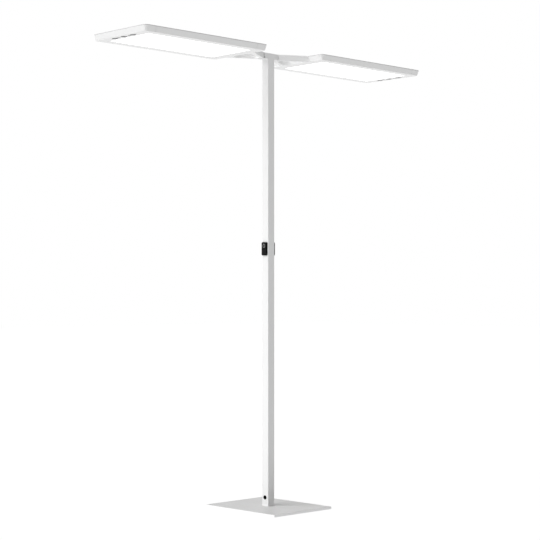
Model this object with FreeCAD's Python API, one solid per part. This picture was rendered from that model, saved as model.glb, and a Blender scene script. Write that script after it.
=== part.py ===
import FreeCAD, Part
import math
import os

# Office floor lamp: two flat light heads, one on each side of a square mast, on a steel base plate.
# Millimetres. +Z is up and the origin is on the floor, under the middle of the mast.
# +X runs along the two heads and +Y points to the back. The heads are alike: the right one is
# built on +X, and the left one is the same head turned half round the mast.

Vector = FreeCAD.Vector

# Whole lamp
overall_height = 1950.0
overall_length = 1632.0

# Base plate with its floor pad
base_length = 343.0
base_depth = 424.0
base_thickness = 10.0
base_corner_radius = 3.0
base_edge_chamfer = 0.6
pad_thickness = 1.0
pad_inset = 6.0

# Mast tube
mast_width = 37.4
mast_wall = 2.0
mast_corner_radius = 2.0
mast_plug_clearance = 0.2

# Foot block inside the mast, and its bolts up through the base plate
foot_block_height = 26.0
foot_bolt_spacing = 18.0
foot_bolt_diameter = 6.0
foot_bolt_head_diameter = 12.0
foot_bolt_head_height = 3.4
foot_bolt_length = 28.0

# Button screws through the back of the mast
side_screw_diameter = 5.0
side_screw_head_diameter = 9.0
side_screw_head_height = 2.0
side_screw_length = 5.0
foot_screw_spacing = 18.0
foot_screw_height = 13.0
top_screw_depths = (13.0, 32.0)

# Screws in general, and how far a cutting shape runs past the face that it opens
thread_clearance = 0.1
screw_socket_share = 0.5
screw_socket_depth_share = 0.6
cut_past = 1.0

# Lengths shorter than this count as nothing
length_tolerance = 1e-4

# Mains inlet low on the mast
inlet_height = 47.8
inlet_flange_diameter = 17.0
inlet_flange_thickness = 2.5
inlet_flange_round = 0.8
inlet_body_diameter = 12.0
inlet_body_reach = 8.0
inlet_bore = 6.0
inlet_nut_width = 16.0
inlet_nut_thickness = 4.0

# Cable inside the mast and the spacers that hold it
mast_cable_diameter = 7.0
cable_clearance = 0.4
mast_cable_bend = 10.5
cable_clip_heights = (300.0, 650.0, 980.0, 1240.0, 1600.0)
cable_clip_thickness = 6.0

# Control unit: one on each X face of the mast
control_height = 1113.1
control_width = 30.8
control_length = 56.4
control_corner_radius = 5.0
control_wall = 1.4
control_face = 1.2
control_edge_round = 0.6
key_width = 24.4
key_length = 24.0
key_spacing = 25.8
key_corner_radius = 3.0
key_proud = 0.9
key_edge_round = 0.5
key_travel = 0.8
key_gap = 0.3
key_stop_gap = 0.1
key_flange_width = 27.0
key_flange_length = 25.3
key_flange_thickness = 0.8
hook_width = 10.0
hook_thickness = 2.4
hook_catch = 1.0
hook_seat_gap = 0.1
hook_gap = 0.3
board_thickness = 1.6
board_gap = 0.9
board_side_gap = 0.3
board_length = 38.0
dome_diameter = 5.0
dome_height = 1.0
dome_gap = 0.2
plug_width = 8.0
plug_length = 14.0
plug_depth = 6.5
plug_opening_gap = 0.8

# Light head: outline, walls and seams
head_height = 24.5
head_width = 332.0
head_inner_end = 160.0
head_corner_radius = 18.0
head_wall = 2.0
head_wall_lean = 7.8
inner_cap_length = 60.0
outer_cap_length = 56.0
seam_gap = 0.8
bezel_thickness = 2.0
bezel_side_width = 39.2
opening_past_seam = 2.0
opening_corner_radius = 3.0
top_flange_width = 16.0
top_flange_thickness = 2.0
cover_height = 3.0
cover_sheet = 1.2

# Tongues that join the end caps to the rails
tongue_width = 8.0
tongue_height = 7.0
tongue_inset = 7.0
tongue_reach = 20.0
tongue_root = 15.0
tongue_gap = 0.2
rail_screw_diameter = 4.0
rail_screw_head_diameter = 7.4
rail_screw_head_height = 1.8
rail_screw_length = 7.0

# Screws of the top cover
cover_screw_diameter = 3.0
cover_screw_head_diameter = 5.4
cover_screw_head_height = 1.2
cover_screw_length = 6.5
cover_screw_inset = 9.0
cover_screw_end_inset = 30.0
cover_screw_rows = 4

# Optical stack, from the bezel upwards
diffuser_thickness = 2.0
diffuser_lap = 3.6
light_guide_thickness = 4.0
light_guide_lap = 3.0
reflector_thickness = 0.8
carrier_thickness = 1.5
stack_rib_thickness = 3.0
stack_rib_inset = 6.0
led_board_thickness = 1.6
led_board_height = 5.8
led_board_lift = 0.2
led_length = 3.0
led_depth = 1.0
led_height = 2.0
led_pitch = 15.0

# Driver on the carrier plate, and the head cable that feeds it
driver_length = 240.0
driver_width = 30.0
driver_height = 11.0
driver_inset = 20.0
driver_edge_round = 1.5
driver_ear_length = 10.0
driver_ear_thickness = 2.0
head_cable_diameter = 5.4
head_cable_height = 14.0
head_cable_bend = 25.0
head_cable_turn = 16.0

# Sensors in the bezel of the outer end cap
sensor_inset = 29.0
sensor_lens_diameter = 26.0
sensor_slot_start = 24.0
sensor_slot_end = 77.0
sensor_slot_width = 8.0
sensor_eye_diameter = 22.0
sensor_eye_offset = 56.0
sensor_recess = 0.2
sensor_gap = 0.3
sensor_flange_width = 1.5
sensor_flange_thickness = 1.0
sensor_board_length = 190.0
sensor_board_width = 24.0
sensor_board_thickness = 1.6
sensor_block_size = 9.0
sensor_block_height = 1.0
sensor_post_spacing = 178.0
sensor_post_diameter = 7.0
sensor_pin_diameter = 3.0
sensor_pin_rise = 1.0

# Forked arm that carries a head, cast with the head's inner end
fork_root = 45.5
fork_spread = 170.0
fork_bar_width = 15.5
fork_apex_radius = 18.0
fork_head_radius = 25.0

# Hub on the mast top, and the tongue of each arm inside it
hub_half_length = 41.0
hub_slit = 2.0
hub_edge_chamfer = 0.5
arm_tongue_width = 25.0
arm_tongue_bottom = 2.5
arm_tongue_height = 17.0
arm_tongue_length = 17.8
arm_tongue_gap = 0.2
hub_pocket_length = 32.0
hub_pocket_width = 26.0
hub_pocket_floor = 5.0
hub_cover_length = 72.0
hub_cover_width = 31.4
hub_cover_thickness = 2.0
hub_cover_gap = 0.2
spigot_length = 45.0
hub_screw_diameter = 2.6
hub_screw_head_diameter = 5.0
hub_screw_head_height = 1.4
hub_screw_length = 8.0
hub_screw_spacing_x = 39.0
hub_screw_spacing_y = 19.0
terminal_length = 26.0
terminal_width = 14.0
terminal_height = 11.0
terminal_lift = 3.0
grub_diameter = 4.4
grub_inset = 3.2
grub_height = 5.2
grub_recess = 0.3
grub_socket_depth = 2.0

# Heights and places that follow from the sizes above
base_top = pad_thickness + base_thickness
head_bottom = overall_height - head_height
rim_height = overall_height - cover_height
mast_half = mast_width / 2
mast_bore_half = mast_half - mast_wall
plug_half = mast_bore_half - mast_plug_clearance
head_half_width = head_width / 2
head_outer_end = overall_length / 2
inner_seam = head_inner_end + inner_cap_length
outer_seam = head_outer_end - outer_cap_length
opening_start = inner_seam - opening_past_seam
opening_end = outer_seam + opening_past_seam
opening_half_width = head_half_width - head_wall_lean - bezel_side_width
bezel_top = head_bottom + bezel_thickness
light_guide_bottom = bezel_top + diffuser_thickness
reflector_bottom = light_guide_bottom + light_guide_thickness
carrier_bottom = reflector_bottom + reflector_thickness
carrier_top = carrier_bottom + carrier_thickness
stack_rib_face = opening_half_width + stack_rib_inset
arm_start = hub_half_length + hub_slit
fork_slope = (fork_spread / 2 - mast_half) / (head_inner_end - fork_root)
fork_angle = math.atan(fork_slope)
cable_bore_diameter = head_cable_diameter + 2 * cable_clearance
dome_top = board_gap + board_thickness + dome_height
key_flange_bottom = dome_top + dome_gap + key_travel
key_flange_top = key_flange_bottom + key_flange_thickness
control_face_bottom = key_flange_top + key_stop_gap
control_depth = control_face_bottom + control_face


def box(x0, x1, y0, y1, z0, z1):
    """Block between two corners."""
    return Part.makeBox(x1 - x0, y1 - y0, z1 - z0, Vector(x0, y0, z0))


def rod(diameter, start, direction, length):
    """Round bar from a start point along a direction."""
    return Part.makeCylinder(diameter / 2, length, start, direction)


def rounded_polygon(corners, radii, z):
    """Closed wire at height z through the corners, each rounded with its own radius."""
    starts = []
    middles = []
    ends = []
    for index, radius in enumerate(radii):
        corner = Vector(corners[index][0], corners[index][1], z)
        before = Vector(corners[index - 1][0], corners[index - 1][1], z)
        after_index = (index + 1) % len(corners)
        after = Vector(corners[after_index][0], corners[after_index][1], z)
        back = (before - corner).normalize()
        ahead = (after - corner).normalize()
        half_angle = back.getAngle(ahead) / 2
        setback = radius / math.tan(half_angle)
        inwards = (back + ahead).normalize()
        starts.append(corner + back * setback)
        ends.append(corner + ahead * setback)
        middles.append(corner + inwards * (radius / math.sin(half_angle) - radius))
    edges = []
    for index in range(len(corners)):
        edges.append(Part.Arc(starts[index], middles[index], ends[index]).toShape())
        next_start = starts[(index + 1) % len(corners)]
        if (next_start - ends[index]).Length > length_tolerance:
            edges.append(Part.LineSegment(ends[index], next_start).toShape())
    return Part.Wire(edges)


def rounded_rectangle(x0, x1, y0, y1, radius, z):
    """Closed wire of a rectangle with round corners."""
    corners = [(x0, y0), (x1, y0), (x1, y1), (x0, y1)]
    return rounded_polygon(corners, [radius] * len(corners), z)


def rounded_block(x0, x1, y0, y1, z0, z1, radius):
    """Upright block with round vertical edges."""
    wire = rounded_rectangle(x0, x1, y0, y1, radius, z0)
    return Part.Face(wire).extrude(Vector(0, 0, z1 - z0))


def edges_at_height(shape, z):
    """Edges of a shape that lie flat at one height."""
    flat = []
    for edge in shape.Edges:
        bounds = edge.BoundBox
        if abs(bounds.ZMin - z) < length_tolerance and abs(bounds.ZMax - z) < length_tolerance:
            flat.append(edge)
    return flat


def hexagon_block(across_flats, z0, z1):
    """Upright hexagonal block round the Z axis."""
    sides = 6
    corner_radius = across_flats / 2 / math.cos(math.pi / sides)
    points = []
    for step in range(sides):
        turn = 2 * math.pi * step / sides
        points.append(Vector(corner_radius * math.cos(turn), corner_radius * math.sin(turn), z0))
    return Part.Face(Part.makePolygon(points + points[:1])).extrude(Vector(0, 0, z1 - z0))


def countersunk_screw(diameter, head_diameter, head_height, length):
    """Flat-head screw that points down, with its head's top at the origin."""
    down = Vector(0, 0, -1)
    head = Part.makeCone(head_diameter / 2, diameter / 2, head_height, Vector(), down)
    shank = rod(diameter, Vector(), down, length)
    socket_width = diameter * screw_socket_share
    socket = hexagon_block(socket_width, -head_height * screw_socket_depth_share, cut_past)
    return head.fuse(shank).removeSplitter().cut(socket)


def countersunk_hole(diameter, head_diameter, head_height, length):
    """Space that a flat-head screw needs."""
    down = Vector(0, 0, -1)
    wide = head_diameter / 2 + thread_clearance
    narrow = diameter / 2 + thread_clearance
    head = Part.makeCone(wide, narrow, head_height, Vector(), down)
    shank = rod(2 * narrow, Vector(), down, length + thread_clearance)
    return head.fuse(shank)


def placed(shape, places):
    """One copy of a shape at each place."""
    copies = []
    for place in places:
        copy = shape.copy()
        copy.translate(place)
        copies.append(copy)
    return copies


def tube_along(points, bend_radius, diameter):
    """Round tube along straight runs joined by tangent arcs."""
    edges = []
    start = points[0]
    for index in range(1, len(points) - 1):
        corner = points[index]
        back = (points[index - 1] - corner).normalize()
        ahead = (points[index + 1] - corner).normalize()
        half_angle = back.getAngle(ahead) / 2
        setback = bend_radius / math.tan(half_angle)
        inwards = (back + ahead).normalize()
        arc_start = corner + back * setback
        arc_end = corner + ahead * setback
        middle = corner + inwards * (bend_radius / math.sin(half_angle) - bend_radius)
        edges.append(Part.LineSegment(start, arc_start).toShape())
        edges.append(Part.Arc(arc_start, middle, arc_end).toShape())
        start = arc_end
    edges.append(Part.LineSegment(start, points[-1]).toShape())
    direction = points[1] - points[0]
    section = Part.Wire([Part.makeCircle(diameter / 2, points[0], direction)])
    return Part.Wire(edges).makePipeShell([section], True, False)


def save(name, solids):
    """Write one node, as a single solid or as a group of separate ones."""
    if len(solids) == 1:
        shape = solids[0]
    else:
        shape = Part.makeCompound(solids)
    shape.exportStep("parts/" + name + ".step")


# Base and mast

def foot_bolt_places(z):
    """Centres of the four foot bolts at one height."""
    half = foot_bolt_spacing / 2
    return [Vector(x, y, z) for x in (-half, half) for y in (-half, half)]


def foot_bolt(shape_maker):
    """Foot bolt, or its hole, pointing up from the underside of the base plate."""
    shape = shape_maker(foot_bolt_diameter, foot_bolt_head_diameter, foot_bolt_head_height,
                        foot_bolt_length)
    shape.rotate(Vector(), Vector(1, 0, 0), 180)
    return shape


def build_base():
    """Steel plate, floor pad and the bolts that hold the mast."""
    half_length = base_length / 2
    half_depth = base_depth / 2
    plate = rounded_block(-half_length, half_length, -half_depth, half_depth,
                          pad_thickness, base_top, base_corner_radius)
    plate = plate.makeChamfer(base_edge_chamfer, edges_at_height(plate, base_top))
    bolts = placed(foot_bolt(countersunk_screw), foot_bolt_places(pad_thickness))
    holes = placed(foot_bolt(countersunk_hole), foot_bolt_places(pad_thickness))
    plate = plate.cut(holes)
    pad = rounded_block(pad_inset - half_length, half_length - pad_inset,
                        pad_inset - half_depth, half_depth - pad_inset,
                        0, pad_thickness, base_corner_radius)
    block = rounded_block(-plug_half, plug_half, -plug_half, plug_half,
                          base_top, base_top + foot_block_height, mast_corner_radius)
    block = block.cut(holes).cut(side_screw_holes(foot_screw_places()))
    save("base_plate", [plate])
    save("base_pad", [pad])
    save("mast_foot_block", [block])
    save("mast_foot_bolts", bolts)


def foot_screw_places():
    """Heads of the screws that hold the mast to its foot block."""
    half = foot_screw_spacing / 2
    return [Vector(x, mast_half, base_top + foot_screw_height) for x in (-half, half)]


def top_screw_places():
    """Heads of the screws that hold the hub's spigot in the mast."""
    return [Vector(0, mast_half, head_bottom - depth) for depth in top_screw_depths]


def side_screw():
    """Button screw that points along -Y, with the underside of its head at the origin."""
    head = rod(side_screw_head_diameter, Vector(), Vector(0, 1, 0), side_screw_head_height)
    rim = [edge for edge in head.Edges
           if abs(edge.BoundBox.YMin - side_screw_head_height) < length_tolerance]
    head = head.makeFillet(side_screw_head_height / 2, rim)
    shank = rod(side_screw_diameter, Vector(), Vector(0, -1, 0), side_screw_length)
    socket = hexagon_block(side_screw_diameter * screw_socket_share,
                           -side_screw_head_height * screw_socket_depth_share, cut_past)
    socket.rotate(Vector(), Vector(1, 0, 0), -90)
    socket.translate(Vector(0, side_screw_head_height, 0))
    return head.fuse(shank).cut(socket)


def side_screw_holes(places):
    """Holes for the button screws."""
    hole = rod(side_screw_diameter + 2 * thread_clearance, Vector(), Vector(0, -1, 0),
               side_screw_length + thread_clearance)
    return placed(hole, places)


def build_mast():
    """Square tube, its cable with spacers, and the mains inlet."""
    tube = rounded_block(-mast_half, mast_half, -mast_half, mast_half,
                         base_top, head_bottom, mast_corner_radius)
    tube = tube.cut(rounded_block(-mast_bore_half, mast_bore_half, -mast_bore_half, mast_bore_half,
                                  base_top, head_bottom, mast_corner_radius / 2))
    inlet_start = Vector(-mast_bore_half, 0, inlet_height)
    inlet_hole = rod(inlet_body_diameter + 2 * thread_clearance, inlet_start,
                     Vector(-1, 0, 0), mast_wall)
    tube = tube.cut([inlet_hole] + side_screw_holes(foot_screw_places() + top_screw_places()))
    for turn in (0, 180):
        openings = control_openings()
        for opening in openings:
            opening.rotate(Vector(), Vector(0, 0, 1), turn)
        tube = tube.cut(openings)
    save("mast_tube", [tube])
    save("mast_foot_screws", placed(side_screw(), foot_screw_places()))
    save("mast_top_screws", placed(side_screw(), top_screw_places()))

    cable_start = Vector(inlet_body_reach - mast_half, 0, inlet_height)
    cable_corner = Vector(0, 0, inlet_height)
    cable_end = Vector(0, 0, head_bottom + hub_pocket_floor + terminal_lift)
    save("mast_cable", [tube_along([cable_start, cable_corner, cable_end], mast_cable_bend,
                                   mast_cable_diameter)])
    clips = []
    for height in cable_clip_heights:
        clip = rounded_block(-plug_half, plug_half, -plug_half, plug_half,
                             height, height + cable_clip_thickness, mast_corner_radius)
        hole = rod(mast_cable_diameter + 2 * cable_clearance, Vector(0, 0, height),
                   Vector(0, 0, 1), cable_clip_thickness)
        clips.append(clip.cut(hole))
    save("mast_cable_clips", clips)
    build_inlet()


def build_inlet():
    """Round gland in the mast's left face, with its nut inside."""
    outwards = Vector(-1, 0, 0)
    face = Vector(-mast_half, 0, inlet_height)
    flange = rod(inlet_flange_diameter, face, outwards, inlet_flange_thickness)
    rim_place = -mast_half - inlet_flange_thickness
    rim = [edge for edge in flange.Edges
           if abs(edge.BoundBox.XMax - rim_place) < length_tolerance]
    flange = flange.makeFillet(inlet_flange_round, rim)
    body = rod(inlet_body_diameter, face, Vector(1, 0, 0), inlet_body_reach)
    bore_start = Vector(inlet_body_reach - mast_half, 0, inlet_height)
    bore = rod(inlet_bore, bore_start, outwards, inlet_body_reach + inlet_flange_thickness)
    save("cable_inlet", [flange.fuse(body).cut(bore)])

    nut = hexagon_block(inlet_nut_width, 0, inlet_nut_thickness)
    nut = nut.cut(rod(inlet_body_diameter + 2 * thread_clearance, Vector(), Vector(0, 0, 1),
                      inlet_nut_thickness))
    nut.rotate(Vector(), Vector(0, 1, 0), 90)
    nut.translate(Vector(-mast_bore_half, 0, inlet_height))
    save("inlet_nut", [nut])


# Control units. Each is built flat, with X across, Y along its length and Z out of the mast's face.

def on_mast_face(shape, turn):
    """Stand a flat-built control piece on the mast's right face, then turn it round the mast."""
    stand = FreeCAD.Rotation(Vector(0, 1, 0), Vector(0, 0, 1), Vector(1, 0, 0), "ZXY")
    place = FreeCAD.Placement(Vector(mast_half, 0, control_height), stand)
    moved = shape.transformed(place.toMatrix(), True)
    moved.rotate(Vector(), Vector(0, 0, 1), turn)
    return moved


def control_openings():
    """Openings in the mast's right face for the unit's plug and its two hooks."""
    half_width = plug_width / 2 + plug_opening_gap
    half_length = plug_length / 2 + plug_opening_gap
    openings = [box(-half_width, half_width, -half_length, half_length, -mast_wall, 0)]
    for low, high in hook_spans():
        openings.append(box(-hook_width / 2 - hook_gap, hook_width / 2 + hook_gap,
                            low - hook_gap, high + hook_gap, -mast_wall, 0))
    return [on_mast_face(opening, 0) for opening in openings]


def hook_spans():
    """Where the two hooks start and end along the unit."""
    outer = control_length / 2 - control_wall
    inner = outer - hook_thickness
    return [(inner, outer), (-outer, -inner)]


def control_housing():
    """Shell with two key openings and two snap hooks."""
    half_width = control_width / 2
    half_length = control_length / 2
    shell = rounded_block(-half_width, half_width, -half_length, half_length,
                          0, control_depth, control_corner_radius)
    shell = shell.makeFillet(control_edge_round, edges_at_height(shell, control_depth))
    shell = shell.cut(rounded_block(control_wall - half_width, half_width - control_wall,
                                    control_wall - half_length, half_length - control_wall,
                                    0, control_face_bottom,
                                    control_corner_radius - control_wall))
    for centre in key_centres():
        shell = shell.cut(key_block(centre, key_width + 2 * key_gap, key_length + 2 * key_gap,
                                    0, control_depth))
    catch_top = -mast_wall - hook_seat_gap
    for low, high in hook_spans():
        hook = box(-hook_width / 2, hook_width / 2, low, high, catch_top - hook_catch, dome_top)
        catch_low = low if low > 0 else low - hook_catch
        catch_high = high + hook_catch if low > 0 else high
        catch = box(-hook_width / 2, hook_width / 2, catch_low, catch_high,
                    catch_top - hook_catch, catch_top)
        shell = shell.fuse([hook, catch])
    return shell.removeSplitter()


def key_centres():
    """Middle of the upper key and of the lower key, along the unit."""
    return [key_spacing / 2, -key_spacing / 2]


def key_block(centre, width, length, z0, z1):
    """Block with the outline of a key, or of its opening."""
    return rounded_block(-width / 2, width / 2, centre - length / 2, centre + length / 2,
                         z0, z1, key_corner_radius)


def control_key(centre):
    """Push key with a flange that keeps it behind the housing's face."""
    key_top = control_depth + key_proud
    cap = key_block(centre, key_width, key_length, key_flange_bottom, key_top)
    cap = cap.makeFillet(key_edge_round, edges_at_height(cap, key_top))
    flange = key_block(centre, key_flange_width, key_flange_length, key_flange_bottom,
                       key_flange_top)
    return cap.fuse(flange).removeSplitter()


def control_board():
    """Circuit board with a switch dome under each key and a plug into the mast."""
    half_width = control_width / 2 - control_wall - board_side_gap
    board = box(-half_width, half_width, -board_length / 2, board_length / 2,
                board_gap, board_gap + board_thickness)
    domes = []
    for centre in key_centres():
        domes.append(rod(dome_diameter, Vector(0, centre, board_gap + board_thickness),
                         Vector(0, 0, 1), dome_height))
    plug = box(-plug_width / 2, plug_width / 2, -plug_length / 2, plug_length / 2,
               -plug_depth, board_gap)
    return board.fuse(domes + [plug]).removeSplitter()


def build_controls():
    """Both control units."""
    for side, turn in (("right", 0), ("left", 180)):
        upper_centre, lower_centre = key_centres()
        save(side + "_control_housing", [on_mast_face(control_housing(), turn)])
        save(side + "_control_board", [on_mast_face(control_board(), turn)])
        save(side + "_upper_key", [on_mast_face(control_key(upper_centre), turn)])
        save(side + "_lower_key", [on_mast_face(control_key(lower_centre), turn)])


# Hub on top of the mast

def head_cable_route():
    """Corners of the head cable: terminal block, arm, head and driver."""
    height = head_bottom + head_cable_height
    arm_offset = fork_bar_width / 2 / math.cos(fork_angle)
    middle_rise = mast_half - arm_offset
    first_turn = fork_root - middle_rise / fork_slope
    second_turn = head_inner_end + head_cable_turn
    second_y = middle_rise + (second_turn - fork_root) * fork_slope
    return [Vector(terminal_length / 2, 0, height), Vector(first_turn, 0, height),
            Vector(second_turn, second_y, height),
            Vector(inner_seam + driver_inset, second_y, height)]


def grub_screw_places():
    """Tips of the clamping screws in the hub's front face."""
    reach = hub_half_length - grub_inset
    return [Vector(x, -mast_half, head_bottom + grub_height) for x in (-reach, reach)]


def build_hub():
    """Cast hub with its spigot, cover, terminal block and screws."""
    bottom = head_bottom
    hub = box(-hub_half_length, hub_half_length, -mast_half, mast_half, bottom, overall_height)
    hub = hub.makeChamfer(hub_edge_chamfer, edges_at_height(hub, overall_height))
    spigot = rounded_block(-plug_half, plug_half, -plug_half, plug_half,
                           bottom - spigot_length, bottom, mast_corner_radius)
    hub = hub.fuse(spigot)

    cover_bottom = overall_height - hub_cover_thickness
    pocket = box(-hub_pocket_length / 2, hub_pocket_length / 2, -hub_pocket_width / 2,
                 hub_pocket_width / 2, bottom + hub_pocket_floor, overall_height)
    half_length = hub_cover_length / 2
    half_width = hub_cover_width / 2
    recess = box(-half_length, half_length, -half_width, half_width, cover_bottom, overall_height)
    cable_hole = rod(mast_cable_diameter + 2 * cable_clearance,
                     Vector(0, 0, bottom - spigot_length), Vector(0, 0, 1),
                     spigot_length + hub_pocket_floor)
    cuts = [pocket, recess, cable_hole] + side_screw_holes(top_screw_places())

    for turn in (0, 180):
        socket = box(arm_start - arm_tongue_length - arm_tongue_gap, hub_half_length,
                     -arm_tongue_width / 2 - arm_tongue_gap, arm_tongue_width / 2 + arm_tongue_gap,
                     bottom + arm_tongue_bottom - arm_tongue_gap,
                     bottom + arm_tongue_bottom + arm_tongue_height + arm_tongue_gap)
        bore = tube_along(head_cable_route(), head_cable_bend, cable_bore_diameter)
        for cut in (socket, bore):
            cut.rotate(Vector(), Vector(0, 0, 1), turn)
            cuts.append(cut)

    grub_length = mast_half - arm_tongue_width / 2 - arm_tongue_gap
    grub_hole = rod(grub_diameter + 2 * thread_clearance, Vector(), Vector(0, 1, 0), grub_length)
    cuts += placed(grub_hole, grub_screw_places())
    half_x = hub_screw_spacing_x / 2
    half_y = hub_screw_spacing_y / 2
    screw_places = [Vector(x, y, overall_height)
                    for x in (-half_x, half_x) for y in (-half_y, half_y)]
    screw_sizes = (hub_screw_diameter, hub_screw_head_diameter, hub_screw_head_height,
                   hub_screw_length)
    screw_holes = placed(countersunk_hole(*screw_sizes), screw_places)
    save("hub_body", [hub.cut(cuts + screw_holes)])

    cover = box(hub_cover_gap - half_length, half_length - hub_cover_gap,
                hub_cover_gap - half_width, half_width - hub_cover_gap,
                cover_bottom, overall_height)
    save("hub_cover", [cover.cut(screw_holes)])
    save("hub_cover_screws", placed(countersunk_screw(*screw_sizes), screw_places))

    grub = rod(grub_diameter, Vector(0, grub_recess, 0), Vector(0, 1, 0), grub_length - grub_recess)
    socket = hexagon_block(grub_diameter * screw_socket_share, -cut_past,
                           grub_recess + grub_socket_depth)
    socket.rotate(Vector(), Vector(1, 0, 0), -90)
    save("arm_grub_screws", placed(grub.cut(socket), grub_screw_places()))

    terminal_bottom = bottom + hub_pocket_floor + terminal_lift
    save("terminal_block", [box(-terminal_length / 2, terminal_length / 2, -terminal_width / 2,
                                terminal_width / 2, terminal_bottom,
                                terminal_bottom + terminal_height)])


# Light head, built on the +X side

def head_outline(inset, z):
    """Plan outline of a head, moved inwards by an inset."""
    return rounded_rectangle(head_inner_end + inset, head_outer_end - inset,
                             inset - head_half_width, head_half_width - inset,
                             head_corner_radius - inset, z)


def lean_at(z):
    """How far the leaning wall has moved inwards at a height."""
    return head_wall_lean * (rim_height - z) / (rim_height - head_bottom)


def head_slab(inset, z0, z1):
    """Straight slab with the head's outline."""
    return Part.Face(head_outline(inset, z0)).extrude(Vector(0, 0, z1 - z0))


def head_leaning(inset, z0, z1):
    """Block that follows the leaning walls between two heights."""
    lower = head_outline(inset + lean_at(z0), z0)
    upper = head_outline(inset + lean_at(z1), z1)
    return Part.makeLoft([lower, upper], True, True)


def head_cavity():
    """Space inside the head's shell, up to its top flange."""
    return head_leaning(head_wall, bezel_top, rim_height - top_flange_thickness)


def head_tray():
    """Whole shell of a head under its cover, before it is parted at the seams."""
    tray = head_leaning(0, head_bottom, rim_height).cut(head_cavity())
    window = head_slab(top_flange_width, rim_height - top_flange_thickness, rim_height)
    light_opening = rounded_block(opening_start, opening_end, -opening_half_width,
                                  opening_half_width, head_bottom, bezel_top,
                                  opening_corner_radius)
    return tray.cut([window, light_opening])


def corner_signs():
    """Side and end signs of the four places where a cap meets a rail."""
    return [(side, end) for side in (-1, 1) for end in (-1, 1)]


def rail_screw_places():
    """Heads of the screws that hold the rails to the tongues."""
    y = head_half_width - tongue_inset - tongue_width / 2
    places = []
    for side, end in corner_signs():
        if end < 0:
            x = inner_seam + tongue_reach / 2
        else:
            x = outer_seam - tongue_reach / 2
        places.append(Vector(x, side * y, rim_height))
    return places


def tongues(end):
    """Two tongues of one end cap; end is -1 for the inner cap and 1 for the outer cap."""
    flange_bottom = rim_height - top_flange_thickness
    seam = inner_seam if end < 0 else outer_seam
    solids = []
    for side in (-1, 1):
        far_y = head_half_width - tongue_inset
        y0, y1 = sorted((side * far_y, side * (far_y - tongue_width)))
        root_x = sorted((seam + end * tongue_root, seam + end * seam_gap / 2))
        reach_x = sorted((seam + end * tongue_root, seam - end * tongue_reach))
        solids.append(box(root_x[0], root_x[1], y0, y1, flange_bottom - tongue_height,
                          flange_bottom))
        solids.append(box(reach_x[0], reach_x[1], y0, y1, flange_bottom - tongue_height,
                          flange_bottom - tongue_gap))
    return solids


def rail_screw_sizes():
    """Sizes that make a rail screw or its hole."""
    return (rail_screw_diameter, rail_screw_head_diameter, rail_screw_head_height,
            rail_screw_length)


def cover_screw_sizes():
    """Sizes that make a cover screw or its hole."""
    return (cover_screw_diameter, cover_screw_head_diameter, cover_screw_head_height,
            cover_screw_length)


def cover_screw_places():
    """Heads of the cover screws, evenly spaced along both long sides."""
    first = head_inner_end + cover_screw_end_inset
    last = head_outer_end - cover_screw_end_inset
    step = (last - first) / (cover_screw_rows - 1)
    y = head_half_width - cover_screw_inset
    return [Vector(first + row * step, side * y, overall_height)
            for side in (-1, 1) for row in range(cover_screw_rows)]


def head_screw_holes():
    """All screw holes in the shell of a head."""
    holes = placed(countersunk_hole(*rail_screw_sizes()), rail_screw_places())
    return holes + placed(countersunk_hole(*cover_screw_sizes()), cover_screw_places())


def rail(side):
    """Long side profile between the seams, with the rib that carries the optical stack."""
    start = inner_seam + seam_gap / 2
    end = outer_seam - seam_gap / 2
    y0, y1 = sorted((0, side * head_half_width))
    profile = head_tray().common(box(start, end, y0, y1, head_bottom, rim_height))
    rib_y = sorted((side * stack_rib_face, side * (stack_rib_face + stack_rib_thickness)))
    rib = box(start, end, rib_y[0], rib_y[1], head_bottom + bezel_thickness / 2, carrier_bottom)
    return profile.fuse(rib).removeSplitter().cut(head_screw_holes())


def fork_opening(z0, z1):
    """Rounded three-sided opening of the fork, whose head side follows the leaning wall."""
    wires = []
    inner_rise = mast_half - fork_bar_width / math.cos(fork_angle)
    apex_x = fork_root - inner_rise / fork_slope
    for z in (z0, z1):
        far_x = head_inner_end + max(lean_at(z), 0)
        far_y = (far_x - apex_x) * fork_slope
        corners = [(apex_x, 0), (far_x, -far_y), (far_x, far_y)]
        wires.append(rounded_polygon(corners, [fork_apex_radius, fork_head_radius,
                                               fork_head_radius], z))
    return Part.makeLoft(wires, True, True)


def forked_arm():
    """Inner end cap of a head, cast in one piece with its forked arm and the arm's tongue."""
    cap = head_tray().common(box(head_inner_end, inner_seam - seam_gap / 2, -head_half_width,
                                 head_half_width, head_bottom, rim_height))
    far_x = head_inner_end + head_wall_lean + head_wall
    far_y = mast_half + (far_x - fork_root) * fork_slope
    outline = [Vector(arm_start, -mast_half, head_bottom), Vector(fork_root, -mast_half, head_bottom),
               Vector(far_x, -far_y, head_bottom), Vector(far_x, far_y, head_bottom),
               Vector(fork_root, mast_half, head_bottom), Vector(arm_start, mast_half, head_bottom)]
    arm = Part.Face(Part.makePolygon(outline + outline[:1])).extrude(Vector(0, 0, head_height))
    cover_space = head_slab(0, rim_height, overall_height)
    arm = arm.cut([fork_opening(head_bottom, rim_height), fork_opening(rim_height, overall_height),
                   head_cavity(), cover_space])
    tongue = box(arm_start - arm_tongue_length, arm_start, -arm_tongue_width / 2,
                 arm_tongue_width / 2, head_bottom + arm_tongue_bottom,
                 head_bottom + arm_tongue_bottom + arm_tongue_height)
    casting = cap.fuse([arm, tongue] + tongues(-1)).removeSplitter()
    bore = tube_along(head_cable_route(), head_cable_bend, cable_bore_diameter)
    return casting.cut([bore] + head_screw_holes())


def sensor_centre_x():
    """Row of the sensors across the outer end."""
    return head_outer_end - sensor_inset


def lens_block(grow, z0, z1):
    """Round block for the middle sensor lens."""
    return rod(sensor_lens_diameter + 2 * grow, Vector(sensor_centre_x(), 0, z0),
               Vector(0, 0, 1), z1 - z0)


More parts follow.
